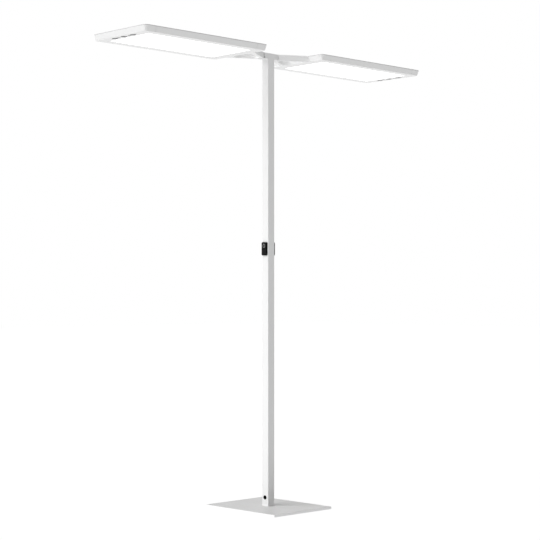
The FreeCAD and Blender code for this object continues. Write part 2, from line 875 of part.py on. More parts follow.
def window_block(side, grow, z0, z1):
    """Slot with a round eye, for one side window."""
    x = sensor_centre_x()
    half = sensor_slot_width / 2 + grow
    y0 = sensor_slot_start - grow
    y1 = sensor_slot_end + grow
    low_y, high_y = sorted((side * y0, side * y1))
    slot = rounded_block(x - half, x + half, low_y, high_y, z0, z1, half)
    eye = rod(sensor_eye_diameter + 2 * grow, Vector(x, side * sensor_eye_offset, z0),
              Vector(0, 0, 1), z1 - z0)
    return slot.fuse(eye).removeSplitter()


def sensor_post_places(z):
    """Posts that carry the sensor board."""
    half = sensor_post_spacing / 2
    return [Vector(sensor_centre_x(), y, z) for y in (-half, half)]


def outer_end_cap():
    """Outer end of a head, with openings for the sensors and posts for their board."""
    cap = head_tray().common(box(outer_seam + seam_gap / 2, head_outer_end, -head_half_width,
                                 head_half_width, head_bottom, rim_height))
    openings = [lens_block(sensor_gap, head_bottom, bezel_top)]
    for side in (-1, 1):
        openings.append(window_block(side, sensor_gap, head_bottom, bezel_top))
    board_bottom = bezel_top + sensor_flange_thickness + sensor_block_height
    pin_top = board_bottom + sensor_board_thickness + sensor_pin_rise
    post = rod(sensor_post_diameter, Vector(), Vector(0, 0, 1), board_bottom - bezel_top)
    pin = rod(sensor_pin_diameter, Vector(), Vector(0, 0, 1), pin_top - bezel_top)
    posts = placed(post.fuse(pin), sensor_post_places(bezel_top))
    return cap.fuse(posts + tongues(1)).removeSplitter().cut(openings + head_screw_holes())


def sensor_lens():
    """Lens of the middle sensor, with the flange that sits on the bezel."""
    lens = lens_block(0, head_bottom + sensor_recess, bezel_top)
    flange = lens_block(sensor_flange_width, bezel_top, bezel_top + sensor_flange_thickness)
    return lens.fuse(flange)


def sensor_windows():
    """Two side windows, each with its flange."""
    windows = []
    for side in (-1, 1):
        window = window_block(side, 0, head_bottom + sensor_recess, bezel_top)
        flange = window_block(side, sensor_flange_width, bezel_top,
                              bezel_top + sensor_flange_thickness)
        windows.append(window.fuse(flange))
    return windows


def sensor_board():
    """Circuit board behind the lenses, with a sensor block over each one."""
    bottom = bezel_top + sensor_flange_thickness + sensor_block_height
    x = sensor_centre_x()
    half_width = sensor_board_width / 2
    half_length = sensor_board_length / 2
    board = box(x - half_width, x + half_width, -half_length, half_length,
                bottom, bottom + sensor_board_thickness)
    half_block = sensor_block_size / 2
    blocks = []
    for y in (-sensor_eye_offset, 0, sensor_eye_offset):
        blocks.append(box(x - half_block, x + half_block, y - half_block, y + half_block,
                          bottom - sensor_block_height, bottom))
    hole = rod(sensor_pin_diameter + 2 * thread_clearance, Vector(), Vector(0, 0, 1),
               sensor_board_thickness)
    return board.fuse(blocks).removeSplitter().cut(placed(hole, sensor_post_places(bottom)))


def top_cover():
    """Sheet cover with a turned-down rim that stands on the walls."""
    cover = head_slab(0, rim_height, overall_height)
    hollow = head_slab(cover_sheet, rim_height, overall_height - cover_sheet)
    holes = placed(countersunk_hole(*cover_screw_sizes()), cover_screw_places())
    return cover.cut([hollow] + holes)


def stack_sheet(lap, z0, z1):
    """Sheet of the optical stack that laps over the edge of the light opening."""
    return box(opening_start - lap, opening_end + lap, -opening_half_width - lap,
               opening_half_width + lap, z0, z1)


def led_strips():
    """Two light strips along the long edges of the light guide."""
    start = inner_seam + seam_gap
    end = outer_seam - seam_gap
    bottom = bezel_top + led_board_lift
    middle = light_guide_bottom + light_guide_thickness / 2
    count = int((end - start - led_length) // led_pitch) + 1
    first = (start + end - (count - 1) * led_pitch - led_length) / 2
    strips = []
    for side in (-1, 1):
        board_face = stack_rib_face - led_board_thickness
        board_y = sorted((side * stack_rib_face, side * board_face))
        led_y = sorted((side * board_face, side * (board_face - led_depth)))
        board = box(start, end, board_y[0], board_y[1], bottom, bottom + led_board_height)
        leds = []
        for index in range(count):
            x = first + index * led_pitch
            leds.append(box(x, x + led_length, led_y[0], led_y[1], middle - led_height / 2,
                            middle + led_height / 2))
        strips.append(board.fuse(leds).removeSplitter())
    return strips


def carrier_plate():
    """Metal sheet over the optical stack that lies on the rails' ribs."""
    half_width = stack_rib_face + stack_rib_thickness
    return box(inner_seam + seam_gap, outer_seam - seam_gap, -half_width, half_width,
               carrier_bottom, carrier_top)


def led_driver():
    """Power supply on the carrier plate, in line with the head cable."""
    cable_end = head_cable_route()[-1]
    x0 = cable_end.x
    x1 = x0 + driver_length
    y0 = cable_end.y - driver_width / 2
    y1 = cable_end.y + driver_width / 2
    case = rounded_block(x0, x1, y0, y1, carrier_top, carrier_top + driver_height,
                         driver_edge_round)
    case = case.makeFillet(driver_edge_round / 2,
                           edges_at_height(case, carrier_top + driver_height))
    ear = box(x1 - driver_edge_round, x1 + driver_ear_length, y0 + driver_edge_round,
              y1 - driver_edge_round, carrier_top, carrier_top + driver_ear_thickness)
    return case.fuse(ear)


def head_pieces():
    """Every piece of the right head, by name."""
    guide_top = light_guide_bottom + light_guide_thickness
    reflector_top = guide_top + reflector_thickness
    return {
        "forked_arm": [forked_arm()],
        "front_rail": [rail(-1)],
        "rear_rail": [rail(1)],
        "outer_end_cap": [outer_end_cap()],
        "rail_screws": placed(countersunk_screw(*rail_screw_sizes()), rail_screw_places()),
        "top_cover": [top_cover()],
        "cover_screws": placed(countersunk_screw(*cover_screw_sizes()), cover_screw_places()),
        "diffuser": [stack_sheet(diffuser_lap, bezel_top, light_guide_bottom)],
        "light_guide": [stack_sheet(light_guide_lap, light_guide_bottom, guide_top)],
        "reflector": [stack_sheet(light_guide_lap, guide_top, reflector_top)],
        "led_strips": led_strips(),
        "carrier_plate": [carrier_plate()],
        "led_driver": [led_driver()],
        "head_cable": [tube_along(head_cable_route(), head_cable_bend, head_cable_diameter)],
        "sensor_board": [sensor_board()],
        "sensor_lens": [sensor_lens()],
        "sensor_windows": sensor_windows(),
    }


def build_heads():
    """The right head, and the left one turned half round the mast, which swaps its rails."""
    pieces = head_pieces()
    swapped = {"front_rail": "rear_rail", "rear_rail": "front_rail"}
    for side, turn in (("right", 0), ("left", 180)):
        for built_name, solids in pieces.items():
            name = swapped.get(built_name, built_name) if side == "left" else built_name
            turned = []
            for solid in solids:
                copy = solid.copy()
                copy.rotate(Vector(), Vector(0, 0, 1), turn)
                turned.append(copy)
            save(side + "_" + name, turned)


os.makedirs("parts", exist_ok=True)
build_base()
build_mast()
build_controls()
build_hub()
build_heads()
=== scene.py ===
"""Finish of the office floor lamp: white powder coat, lit opal sheets and black plastic trim."""

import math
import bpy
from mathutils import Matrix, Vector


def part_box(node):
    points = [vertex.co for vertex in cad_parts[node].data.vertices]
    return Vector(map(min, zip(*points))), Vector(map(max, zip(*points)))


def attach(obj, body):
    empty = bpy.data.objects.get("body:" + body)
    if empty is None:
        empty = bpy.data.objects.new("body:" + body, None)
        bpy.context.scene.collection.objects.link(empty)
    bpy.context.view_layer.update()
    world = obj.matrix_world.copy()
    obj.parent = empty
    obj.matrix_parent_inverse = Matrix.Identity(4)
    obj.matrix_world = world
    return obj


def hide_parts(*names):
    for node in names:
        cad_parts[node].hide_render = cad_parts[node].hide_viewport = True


bl_info = {
    "name": "Office Floor Lamp Finish",
    "version": (1, 0, 0),
    "blender": (4, 5, 0),
    "location": "3D View > Sidebar > Floor Lamp",
    "description": "Dresses the floor lamp's parts with their finishes and sets up its stage",
    "category": "Object",
}

import bpy
from bpy.props import FloatProperty, FloatVectorProperty, IntProperty, PointerProperty
from bpy.types import Operator, Panel, PropertyGroup
from mathutils import Vector

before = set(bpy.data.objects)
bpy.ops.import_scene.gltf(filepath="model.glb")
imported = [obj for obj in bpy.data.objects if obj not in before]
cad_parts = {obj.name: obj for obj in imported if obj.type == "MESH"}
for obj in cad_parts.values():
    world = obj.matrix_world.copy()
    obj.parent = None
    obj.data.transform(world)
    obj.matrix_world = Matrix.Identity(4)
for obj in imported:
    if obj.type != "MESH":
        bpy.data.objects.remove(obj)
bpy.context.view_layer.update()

SIDES = ("left", "right")
MILLIMETRE = 0.001

# Sockets of a Mix node that mixes colours
MIX_FACTOR, MIX_FIRST, MIX_SECOND, MIX_RESULT = 0, 6, 7, 2

# Powder coat: shades of its cloudy patches and specks, and the dust that lies on it
MOTTLE_SHADES = (0.975, 1.02)
SPECK_SHADE = 0.95
DUST_COLOUR = (0.62, 0.60, 0.57)
DUST_ON_COVERS = 0.25
DUST_ON_BASE = 0.2
# Lighter colour on the base plate's sides: painted light, standing in for the bright light that
# falls on them near the floor
PAINTED_LIGHT_BASE_EDGE_COLOUR = (0.95, 0.95, 0.95)
# Black on the left arm's tongue by the hub: painted shade for the shadow in the slit there
PAINTED_SLIT_SHADE_BLACK = (0.01, 0.01, 0.01)

# Plain plastics: colour, roughness and specular level
PLASTICS = {
    "white_film": ((0.9, 0.9, 0.9), 0.6, 0.4),
    "driver_case": ((0.8, 0.8, 0.79), 0.45, 0.5),
    "cable_sheath": ((0.5, 0.5, 0.51), 0.55, 0.4),
    "spacer_grey": ((0.42, 0.42, 0.43), 0.8, 0.3),
    "terminal_white": ((0.8, 0.8, 0.78), 0.4, 0.5),
    "black_screw": ((0.01, 0.01, 0.01), 0.6, 0.05),
}

# Bare metals: colour, roughness, and how close their lines lie along X, Y and Z
METALS = {
    "sawn_aluminium": ((0.62, 0.63, 0.64), 0.4, (40, 40, 4)),
    "rolled_aluminium": ((0.66, 0.67, 0.68), 0.36, (2, 60, 60)),
    "plated_screw": ((0.56, 0.57, 0.58), 0.32, (30, 30, 90)),
}

# Circuit boards and light boards
BOARD_GREEN = (0.02, 0.16, 0.07)
TRACK_COLOURS = {"Color1": (0.012, 0.12, 0.05, 1.0), "Color2": (0.018, 0.15, 0.06, 1.0),
                 "Mortar": (0.05, 0.26, 0.10, 1.0)}
BOARD_WHITE = (0.86, 0.86, 0.84)
CHIP_YELLOW = (0.85, 0.62, 0.12)
LIGHT_BOARD_DEPTH = 1.6 * MILLIMETRE
CHIP_DEPTH = 1.0 * MILLIMETRE

# Stage: half the height over which the room's light changes, and where the key light hangs
HORIZON_BLEND = 0.1
KEY_LIGHT_DISTANCE = 5.0


# Settings

class CoatSettings(PropertyGroup):
    """White powder coat on the mast, hub, arms, heads and base."""

    colour: FloatVectorProperty(
        name="Coat colour", description="Colour of the powder coat", subtype="COLOR",
        size=3, min=0, max=1, default=(0.86, 0.86, 0.86))
    base_colour: FloatVectorProperty(
        name="Base colour", description="Colour of the coat on the base plate", subtype="COLOR",
        size=3, min=0, max=1, default=(0.75, 0.75, 0.75))
    # The covers' coat is darker grey than the white coat: painted shade, so that their thin rim
    # shows as the dark line along the top edge of the heads
    painted_shade_cover_colour: FloatVectorProperty(
        name="Cover colour", description="Colour of the coat on the top covers",
        subtype="COLOR", size=3, min=0, max=1, default=(0.60, 0.60, 0.60))
    roughness: FloatProperty(
        name="Roughness", description="How matt the coat is", subtype="FACTOR", min=0,
        max=1, default=0.48)
    grain_size: FloatProperty(
        name="Grain size", description="Width of the coat's fine bumps", unit="LENGTH",
        default=0.0009)
    grain_height: FloatProperty(
        name="Grain height", description="Height of the coat's fine bumps", unit="LENGTH",
        default=0.00003)
    mottle_size: FloatProperty(
        name="Mottle size", description="Width of the coat's faint cloudy patches",
        unit="LENGTH", default=0.14)


class PlasticSettings(PropertyGroup):
    """Moulded plastic of the controls, inlet and sensors."""

    black: FloatVectorProperty(
        name="Control black", description="Colour of the control units", subtype="COLOR",
        size=3, min=0, max=1, default=(0.010, 0.010, 0.0105))
    inlet_black: FloatVectorProperty(
        name="Inlet black", description="Colour of the cable inlet", subtype="COLOR",
        size=3, min=0, max=1, default=(0.004, 0.004, 0.004))
    smoke: FloatVectorProperty(
        name="Sensor smoke", description="Colour of the sensor windows", subtype="COLOR",
        size=3, min=0, max=1, default=(0.03, 0.03, 0.032))
    grain_size: FloatProperty(
        name="Grain size", description="Width of the moulded grain", unit="LENGTH",
        default=0.0005)


class GlowSettings(PropertyGroup):
    """Light that the opal sheets give."""

    colour: FloatVectorProperty(
        name="Light colour", description="Colour of the lit sheets", subtype="COLOR",
        size=3, min=0, max=1, default=(1.0, 0.995, 0.98))
    brightness: FloatProperty(
        name="Brightness", description="Brightness of the lit sheets", min=0, default=1.6)
    prism_pitch: FloatProperty(
        name="Prism pitch", description="Spacing of the sheets' fine prisms", unit="LENGTH",
        default=0.0016)


class KeyMarkSettings(PropertyGroup):
    """Plain ring printed on each upper key."""

    width: FloatProperty(
        name="Width", description="Outer width of the ring", unit="LENGTH", default=0.013)
    height: FloatProperty(
        name="Height", description="Outer height of the ring", unit="LENGTH", default=0.0165)
    line: FloatProperty(
        name="Line", description="Width of the ring's line", unit="LENGTH", default=0.0017)
    rise: FloatProperty(
        name="Rise", description="How far the ring stands on the key", unit="LENGTH",
        default=0.00012)
    segments: IntProperty(
        name="Segments", description="Number of straight sides round the ring", default=72)
    colour: FloatVectorProperty(
        name="Colour", description="Colour of the ring", subtype="COLOR", size=3, min=0,
        max=1, default=(0.36, 0.36, 0.365))


class PadSettings(PropertyGroup):
    """Rubber pad under the base plate."""

    corner: FloatProperty(
        name="Corner", description="Radius of the pad's corners", unit="LENGTH", default=0.003)
    lip: FloatProperty(
        name="Lip", description="Width of the pad's raised rim", unit="LENGTH", default=0.008)
    groove: FloatProperty(
        name="Groove", description="Depth of the field inside the rim", unit="LENGTH",
        default=0.0003)
    colour: FloatVectorProperty(
        name="Colour", description="Colour of the rubber", subtype="COLOR", size=3, min=0,
        max=1, default=(0.03, 0.03, 0.032))


class StageSettings(PropertyGroup):
    """Camera, floor and studio light."""

    camera_place: FloatVectorProperty(
        name="Camera place", description="Where the camera stands", subtype="TRANSLATION",
        size=3, default=(-4.2917, -4.4170, 0.9093))
    camera_heading: FloatProperty(
        name="Camera heading", description="Turn of the camera about the upright axis",
        subtype="ANGLE", default=math.radians(-44.246))
    camera_lens: FloatProperty(
        name="Lens", description="Focal length in millimetres", unit="CAMERA",
        default=95.59)
    camera_rise: FloatProperty(
        name="Upward shift", description="Upward shift of the camera's view", default=0.0488)
    floor_width: FloatProperty(
        name="Floor width", description="Width of the floor", unit="LENGTH", default=60.0)
    floor_glow: FloatProperty(
        name="Floor glow", description="Brightness that the floor has in full shadow",
        subtype="FACTOR", min=0, max=1, default=0.94)
    floor_colour: FloatProperty(
        name="Floor colour", description="Share of the light that the floor adds to its glow",
        subtype="FACTOR", min=0, max=1, default=0.12)
    light_above: FloatProperty(
        name="Light from above", description="Room light above the horizon", min=0,
        default=0.19)
    light_below: FloatProperty(
        name="Light from below", description="Room light below the horizon", min=0,
        default=0.92)
    key_level: FloatProperty(
        name="Key light level", description="Strength of the soft key light", min=0,
        default=2.25)
    key_spread: FloatProperty(
        name="Key light spread", description="How wide the key light looks from the lamp",
        subtype="ANGLE", default=math.radians(62))
    key_heading: FloatProperty(
        name="Key light heading", description="Turn of the key light about the upright axis",
        subtype="ANGLE", default=math.radians(168))
    key_height: FloatProperty(
        name="Key light height", description="Angle of the key light above the horizon",
        subtype="ANGLE", default=math.radians(38))


class LampSettings(PropertyGroup):
    """All the lamp's settings."""

    coat: PointerProperty(type=CoatSettings)
    plastic: PointerProperty(type=PlasticSettings)
    glow: PointerProperty(type=GlowSettings)
    key_mark: PointerProperty(type=KeyMarkSettings)
    pad: PointerProperty(type=PadSettings)
    stage: PointerProperty(type=StageSettings)


def settings():
    """The lamp's settings in this scene."""
    return bpy.context.scene.floor_lamp


# Node helpers

def add_node(tree, kind, values=None, **options):
    """New node with its options and its sockets' own values set."""
    node = tree.nodes.new(kind)
    for option, value in options.items():
        setattr(node, option, value)
    for socket, value in (values or {}).items():
        node.inputs[socket].default_value = value
    return node


def new_group(name, inputs, outputs):
    """Empty shader node group with its sockets, and its input and output nodes."""
    group = bpy.data.node_groups.new(name, "ShaderNodeTree")
    for label, kind, value in inputs:
        socket = group.interface.new_socket(name=label, in_out="INPUT", socket_type=kind)
        if value is not None:
            socket.default_value = value
    for label, kind in outputs:
        group.interface.new_socket(name=label, in_out="OUTPUT", socket_type=kind)
    return group, group.nodes.new("NodeGroupInput"), group.nodes.new("NodeGroupOutput")


def shared_group(name, build):
    """The named node group, built the first time that it is asked for."""
    return bpy.data.node_groups.get(name) or build(name)


def size_to_scale(group, start, socket):
    """Texture scale that belongs to a size in metres."""
    divide = add_node(group, "ShaderNodeMath", {0: 1.0}, operation="DIVIDE")
    group.links.new(start.outputs[socket], divide.inputs[1])
    return divide.outputs[0]


def build_coat_grain(name):
    """Powder coat: fine orange-peel bumps and faint cloudy patches."""
    group, start, end = new_group(
        name,
        [("Place", "NodeSocketVector", None), ("Grain Size", "NodeSocketFloat", 0.001),
         ("Mottle Size", "NodeSocketFloat", 0.1)],
        [("Height", "NodeSocketFloat"), ("Mottle", "NodeSocketFloat"),
         ("Speck", "NodeSocketFloat")])
    fine = add_node(group, "ShaderNodeTexNoise", {"Detail": 2.0, "Roughness": 0.55})
    coarse = add_node(group, "ShaderNodeTexNoise", {"Detail": 4.0, "Roughness": 0.6})
    speck = add_node(group, "ShaderNodeTexVoronoi", feature="F1")
    spots = add_node(group, "ShaderNodeMapRange",
                     {"From Min": 0.05, "From Max": 0.16, "To Min": 1.0, "To Max": 0.0})
    wave = add_node(group, "ShaderNodeMath", {1: 0.35}, operation="MULTIPLY")
    height = add_node(group, "ShaderNodeMath", operation="ADD")
    for texture, socket in ((fine, "Grain Size"), (coarse, "Mottle Size"),
                            (speck, "Grain Size")):
        group.links.new(start.outputs["Place"], texture.inputs["Vector"])
        group.links.new(size_to_scale(group, start, socket), texture.inputs["Scale"])
    group.links.new(speck.outputs["Distance"], spots.inputs["Value"])
    group.links.new(speck.outputs["Distance"], wave.inputs[0])
    group.links.new(fine.outputs["Fac"], height.inputs[0])
    group.links.new(wave.outputs[0], height.inputs[1])
    group.links.new(height.outputs[0], end.inputs["Height"])
    group.links.new(coarse.outputs["Fac"], end.inputs["Mottle"])
    group.links.new(spots.outputs["Result"], end.inputs["Speck"])
    return group


def build_moulded_grain(name):
    """Moulded plastic: the fine leathery grain of an etched tool."""
    group, start, end = new_group(
        name,
        [("Place", "NodeSocketVector", None), ("Grain Size", "NodeSocketFloat", 0.0005)],
        [("Height", "NodeSocketFloat"), ("Sheen", "NodeSocketFloat")])
    cells = add_node(group, "ShaderNodeTexVoronoi", feature="SMOOTH_F1")
    fine = add_node(group, "ShaderNodeTexNoise", {"Detail": 3.0})
    mixed = add_node(group, "ShaderNodeMath", {2: 0.4}, operation="MULTIPLY_ADD")
    scale = size_to_scale(group, start, "Grain Size")
    for texture in (cells, fine):
        group.links.new(start.outputs["Place"], texture.inputs["Vector"])
        group.links.new(scale, texture.inputs["Scale"])
    group.links.new(cells.outputs["Distance"], mixed.inputs[0])
    group.links.new(fine.outputs["Fac"], mixed.inputs[1])
    group.links.new(mixed.outputs[0], end.inputs["Height"])
    group.links.new(fine.outputs["Fac"], end.inputs["Sheen"])
    return group


def build_settled_dust(name):
    """Thin dust that settles on faces which look up."""
    group, start, end = new_group(
        name,
        [("Place", "NodeSocketVector", None), ("Amount", "NodeSocketFloat", 0.5)],
        [("Mask", "NodeSocketFloat")])
    surface = add_node(group, "ShaderNodeNewGeometry")
    parts = add_node(group, "ShaderNodeSeparateXYZ")
    upward = add_node(group, "ShaderNodeMapRange", {"From Min": 0.6, "From Max": 1.0})
    patches = add_node(group, "ShaderNodeTexNoise", {"Scale": 9.0, "Detail": 6.0})
    spread = add_node(group, "ShaderNodeMapRange", {"From Min": 0.35, "From Max": 0.75})
    product = add_node(group, "ShaderNodeMath", operation="MULTIPLY")
    amount = add_node(group, "ShaderNodeMath", operation="MULTIPLY")
    group.links.new(surface.outputs["Normal"], parts.inputs[0])
    group.links.new(parts.outputs["Z"], upward.inputs["Value"])
    group.links.new(start.outputs["Place"], patches.inputs["Vector"])
    group.links.new(patches.outputs["Fac"], spread.inputs["Value"])
    group.links.new(upward.outputs["Result"], product.inputs[0])
    group.links.new(spread.outputs["Result"], product.inputs[1])
    group.links.new(product.outputs[0], amount.inputs[0])
    group.links.new(start.outputs["Amount"], amount.inputs[1])
    group.links.new(amount.outputs[0], end.inputs["Mask"])
    return group


def build_brushed_lines(name):
    """Rolled or brushed metal: fine lines along one axis."""
    group, start, end = new_group(
        name,
        [("Place", "NodeSocketVector", None), ("Stretch", "NodeSocketVector", (1, 60, 60))],
        [("Height", "NodeSocketFloat"), ("Streak", "NodeSocketFloat")])
    stretch = add_node(group, "ShaderNodeVectorMath", operation="MULTIPLY")
    lines = add_node(group, "ShaderNodeTexNoise", {"Scale": 30.0, "Detail": 4.0})
    streaks = add_node(group, "ShaderNodeTexNoise", {"Scale": 6.0, "Detail": 2.0})
    group.links.new(start.outputs["Place"], stretch.inputs[0])
    group.links.new(start.outputs["Stretch"], stretch.inputs[1])
    group.links.new(stretch.outputs[0], lines.inputs["Vector"])
    group.links.new(stretch.outputs[0], streaks.inputs["Vector"])
    group.links.new(lines.outputs["Fac"], end.inputs["Height"])
    group.links.new(streaks.outputs["Fac"], end.inputs["Streak"])
    return group


def build_prism_sheet(name):
    """Fine pyramids in both directions, as on an anti-glare light sheet."""
    group, start, end = new_group(
        name,
        [("Place", "NodeSocketVector", None), ("Pitch", "NodeSocketFloat", 0.0016)],
        [("Height", "NodeSocketFloat")])
    parts = add_node(group, "ShaderNodeSeparateXYZ")
    height = add_node(group, "ShaderNodeMath", operation="ADD")
    group.links.new(start.outputs["Place"], parts.inputs[0])
    for index, axis in enumerate("XY"):
        ripple = add_node(group, "ShaderNodeMath", operation="PINGPONG")
        group.links.new(parts.outputs[axis], ripple.inputs[0])
        group.links.new(start.outputs["Pitch"], ripple.inputs[1])
        share = add_node(group, "ShaderNodeMath", operation="DIVIDE")
        group.links.new(ripple.outputs[0], share.inputs[0])
        group.links.new(start.outputs["Pitch"], share.inputs[1])
        group.links.new(share.outputs[0], height.inputs[index])
    group.links.new(height.outputs[0], end.inputs["Height"])
    return group


class Finish:
    """One material: a Principled shader with object coordinates and a few common links."""

    def __init__(self, name, colour, roughness, **sockets):
        self.material = bpy.data.materials.new(name)
        self.material.use_nodes = True
        self.tree = self.material.node_tree
        self.shader = self.tree.nodes["Principled BSDF"]
        self.place = self.node("ShaderNodeTexCoord").outputs["Object"]
        self.set("Base Color", (*colour, 1.0))
        self.set("Roughness", roughness)
        for socket, value in sockets.items():
            self.set(socket.replace("_", " "), value)

    def set(self, socket, value):
        """Set one of the shader's own values."""
        self.shader.inputs[socket].default_value = value

    def node(self, kind, values=None, **options):
        """New node in this material."""
        return add_node(self.tree, kind, values, **options)

    def link(self, source, target):
        """Join two sockets."""
        self.tree.links.new(source, target)

    def group(self, name, build, values=None):
        """Place a shared group that reads this material's object coordinates."""
        node = self.node("ShaderNodeGroup", node_tree=shared_group(name, build))
        for socket, value in (values or {}).items():
            node.inputs[socket].default_value = value
        self.link(self.place, node.inputs["Place"])
        return node

    def bump(self, height, distance, strength=1.0):
        """Raise the surface by a height pattern."""
        node = self.node("ShaderNodeBump", {"Distance": distance, "Strength": strength})
        self.link(height, node.inputs["Height"])
        self.link(node.outputs["Normal"], self.shader.inputs["Normal"])

    def beyond(self, axis, limit, operation="GREATER_THAN"):
        """Mask of where the object's coordinate passes a limit."""
        parts = self.node("ShaderNodeSeparateXYZ")
        compare = self.node("ShaderNodeMath", {1: limit}, operation=operation)
        self.link(self.place, parts.inputs[0])
        self.link(parts.outputs[axis], compare.inputs[0])
        return compare.outputs[0]

    def recolour(self, factor, colour):
        """Another colour over the surface's own, where a mask is 1."""
        before = self.shader.inputs["Base Color"].links[0].from_socket
        self.vary_colour(factor, colour, colour, before)

    def mixed_colour(self, factor, first, second, before=None):
        """Colour that goes from the first, or what comes before, to the second."""
        node = self.node("ShaderNodeMix", data_type="RGBA")
        node.inputs[MIX_FIRST].default_value = (*first, 1.0)
        node.inputs[MIX_SECOND].default_value = (*second, 1.0)
        if before is not None:
            self.link(before, node.inputs[MIX_FIRST])
        self.link(factor, node.inputs[MIX_FACTOR])
        return node.outputs[MIX_RESULT]

    def vary_colour(self, factor, first, second, before=None):
        """Surface colour that follows a factor."""
        mixed = self.mixed_colour(factor, first, second, before)
        self.link(mixed, self.shader.inputs["Base Color"])
        return mixed

    def vary_roughness(self, factor, low, high):
        """Roughness that follows a factor."""
        node = self.node("ShaderNodeMapRange", {"To Min": low, "To Max": high})
        self.link(factor, node.inputs["Value"])
        self.link(node.outputs["Result"], self.shader.inputs["Roughness"])


def shade(colour, factor):
    """A colour made darker or lighter."""
    return tuple(min(channel * factor, 1.0) for channel in colour)


def paint(nodes, finish):
    """Give each named part a finish."""
    for name in nodes:
        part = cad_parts[name]
        part.data.materials.clear()
        part.data.materials.append(finish.material)


def both_sides(*names):
    """The left and the right part of each name."""
    return [side + "_" + name for side in SIDES for name in names]


# Finishes

def coat_finish(name, colour, dust):
    """Powder coat with its grain, faint mottling, specks and a little dust on top."""
    coat = settings().coat
    finish = Finish(name, colour, coat.roughness)
    grain = finish.group("Coat Grain", build_coat_grain,
                         {"Grain Size": coat.grain_size, "Mottle Size": coat.mottle_size})
    film = finish.group("Settled Dust", build_settled_dust, {"Amount": dust})
    dark, light = (shade(colour, factor) for factor in MOTTLE_SHADES)
    body = finish.mixed_colour(grain.outputs["Mottle"], dark, light)
    specked = finish.mixed_colour(grain.outputs["Speck"], colour, shade(colour, SPECK_SHADE),
                                  body)
    finish.vary_colour(film.outputs["Mask"], colour, DUST_COLOUR, specked)
    finish.vary_roughness(grain.outputs["Mottle"], coat.roughness - 0.06,
                          coat.roughness + 0.06)
    finish.bump(grain.outputs["Height"], coat.grain_height)
    return finish


def moulded_finish(name, colour, roughness, specular):
    """Moulded plastic with its etched grain."""
    finish = Finish(name, colour, roughness, Specular_IOR_Level=specular)
    grain = finish.group("Moulded Grain", build_moulded_grain,
                         {"Grain Size": settings().plastic.grain_size})
    finish.vary_colour(grain.outputs["Sheen"], shade(colour, 0.85), shade(colour, 1.15))
    finish.vary_roughness(grain.outputs["Sheen"], roughness - 0.08, roughness + 0.08)
    finish.bump(grain.outputs["Height"], 0.04 * MILLIMETRE)
    return finish


def metal_finish(name, colour, roughness, stretch):
    """Bare metal with fine lines."""
    finish = Finish(name, colour, roughness, Metallic=1.0)
    lines = finish.group("Brushed Lines", build_brushed_lines, {"Stretch": stretch})
    finish.vary_colour(lines.outputs["Streak"], shade(colour, 0.88), shade(colour, 1.08))
    finish.vary_roughness(lines.outputs["Height"], roughness - 0.08, roughness + 0.1)
    finish.bump(lines.outputs["Height"], 0.02 * MILLIMETRE)
    return finish


def plain_plastic(name):
    """One of the plain plastics."""
    return moulded_finish(name, *PLASTICS[name])


def bare_metal(name):
    """One of the bare metals."""
    return metal_finish(name, *METALS[name])


def opal_finish():
    """Lit opal sheet with its fine prisms."""
    glow = settings().glow
    finish = Finish("opal_sheet", (0.86, 0.86, 0.855), 0.35, Emission_Strength=glow.brightness)
    prisms = finish.group("Prism Sheet", build_prism_sheet, {"Pitch": glow.prism_pitch})
    lit = finish.mixed_colour(prisms.outputs["Height"], shade(glow.colour, 0.95), glow.colour)
    finish.link(lit, finish.shader.inputs["Emission Color"])
    finish.bump(prisms.outputs["Height"], 0.05 * MILLIMETRE)
    return finish


def smoked_finish():
    """Smoked sensor plastic: dark, glossy and slightly uneven."""
    colour = settings().plastic.smoke
    finish = Finish("smoked_sensor_plastic", colour, 0.3, Specular_IOR_Level=0.1)
    cloud = finish.node("ShaderNodeTexNoise", {"Scale": 220.0, "Detail": 3.0})
    finish.link(finish.place, cloud.inputs["Vector"])
    finish.vary_colour(cloud.outputs["Fac"], shade(colour, 0.75), shade(colour, 1.25))
    finish.vary_roughness(cloud.outputs["Fac"], 0.24, 0.38)
    finish.bump(cloud.outputs["Fac"], 0.02 * MILLIMETRE)
    return finish


def printed_mark_finish():
    """Light grey ink of the ring on the upper keys."""
    colour = settings().key_mark.colour
    finish = Finish("printed_ring_ink", colour, 0.5)
    screen = finish.node("ShaderNodeTexNoise", {"Scale": 3000.0, "Detail": 1.0})
    finish.link(finish.place, screen.inputs["Vector"])
    finish.vary_colour(screen.outputs["Fac"], shade(colour, 0.9), shade(colour, 1.1))
    finish.bump(screen.outputs["Fac"], 0.01 * MILLIMETRE)
    return finish


def rubber_finish():
    """Matt sheet rubber with a fine woven-roller texture."""
    colour = settings().pad.colour
    finish = Finish("pad_rubber", colour, 0.85, Specular_IOR_Level=0.3)
    weave = finish.group("Prism Sheet", build_prism_sheet, {"Pitch": 1.5 * MILLIMETRE})
    wear = finish.node("ShaderNodeTexNoise", {"Scale": 25.0, "Detail": 5.0})
    finish.link(finish.place, wear.inputs["Vector"])
    finish.vary_colour(wear.outputs["Fac"], shade(colour, 0.8), shade(colour, 1.35))
    finish.bump(weave.outputs["Height"], 0.12 * MILLIMETRE)
    return finish


def circuit_finish():
    """Solder-resist green with fine copper tracks under it."""
    finish = Finish("circuit_board", BOARD_GREEN, 0.35)
    tracks = finish.node("ShaderNodeTexBrick",
                         {"Scale": 180.0, "Mortar Size": 0.06, **TRACK_COLOURS})
    finish.link(finish.place, tracks.inputs["Vector"])
    finish.link(tracks.outputs["Color"], finish.shader.inputs["Base Color"])
    finish.bump(tracks.outputs["Fac"], 0.03 * MILLIMETRE)
    return finish


